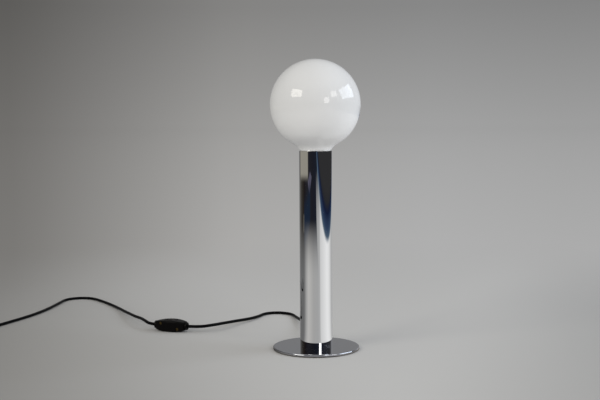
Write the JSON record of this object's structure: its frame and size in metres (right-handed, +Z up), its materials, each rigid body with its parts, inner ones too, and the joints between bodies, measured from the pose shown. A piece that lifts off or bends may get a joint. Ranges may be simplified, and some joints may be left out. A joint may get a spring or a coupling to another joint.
{
  "type": "table lamp",
  "caption": "Table lamp: an opal globe bulb stands in the mouth of a slim polished tube on a round flat foot, with a black lead, a rocker switch on the lead and a mains plug.",
  "frame": {"origin": "middle of the underside of the foot, on the surface the lamp stands on, on the tube's axis", "axes": "+Z up along the tube to the top of the globe; +Y to the back, where the lead leaves the tube; +X to the right seen from the front"},
  "size_m": [0.7919, 0.583, 0.4816],
  "materials": {
    "felt": "dense felt ring",
    "chromed_steel": "polished chrome plate on steel",
    "chromed_tube": "polished chrome plate on a drawn tube",
    "zinc_steel": "zinc plated steel",
    "zinc_casting": "as-cast light alloy",
    "black_rubber": "soft black rubber",
    "black_sheath": "satin black flexible sheath",
    "brass": "bright brass",
    "brown_wire": "brown insulation",
    "blue_wire": "blue insulation",
    "switch_wires": "insulated copper",
    "black_gloss": "moulded black thermoset",
    "porcelain": "glazed white porcelain",
    "opal_glass": "white opal glass, gloss outside",
    "cap_metal": "nickel-washed cap metal",
    "black_glass": "black vitrite glass",
    "clear_glass": "clear glass",
    "wire_metal": "drawn wire",
    "switch_black": "fine-grained black plastic",
    "rocker_black": "smooth black plastic",
    "plug_black": "fine-grained black plastic",
    "pin_metal": "nickel plated pins"
  },
  "bodies": {
    "stand": {"base_pad": "felt", "base_plate": "chromed_steel", "foot_screws": "zinc_steel", "foot_cup": "zinc_casting", "column_tube": "chromed_tube", "strain_relief": "black_rubber", "lead_sheath": "black_sheath", "cord_clamp": "zinc_steel", "clamp_screws": "zinc_steel", "threaded_rod": "zinc_steel", "rod_nuts": "brass", "centring_disc": "zinc_steel", "wire_live": "brown_wire", "wire_neutral": "blue_wire", "holder_cap": "black_gloss", "holder_insert": "porcelain", "holder_skirt": "black_gloss", "screw_shell": "brass", "centre_contact": "brass", "terminal_screws": "brass", "cord_lamp_side": "black_sheath", "cord_plug_side": "black_sheath", "cord_coil": "black_sheath", "switch_front_shell": "switch_black", "switch_back_shell": "switch_black", "shell_screws": "brass", "rocker_pin": "brass", "contact_leaf": "brass", "fixed_contact": "brass", "contact_screws": "brass", "switch_sheaths": "black_sheath", "switch_wires": "switch_wires", "plug_body": "plug_black", "plug_pins": "pin_metal", "pin_sleeves": "plug_black"},
    "bulb": {"bulb_glass": "opal_glass", "bulb_cap": "cap_metal", "cap_insulator": "black_glass", "tip_contact": "cap_metal", "bulb_stem": "clear_glass", "lead_in_wires": "wire_metal", "filament": "wire_metal"},
    "rocker": {"switch_rocker": "rocker_black"}
  },
  "joints": [
    {"name": "bulb_lift", "type": "slide", "parent": "stand", "child": "bulb", "axis": [0, 0, 1], "range_m": [0, 0.06]},
    {"name": "rocker_tilt", "type": "hinge", "parent": "stand", "child": "rocker", "pos_m": [-0.2615, 0.156, 0.0105], "axis": [-0.342, -0.9397, 0], "range_deg": [0, 14]}
  ]
}
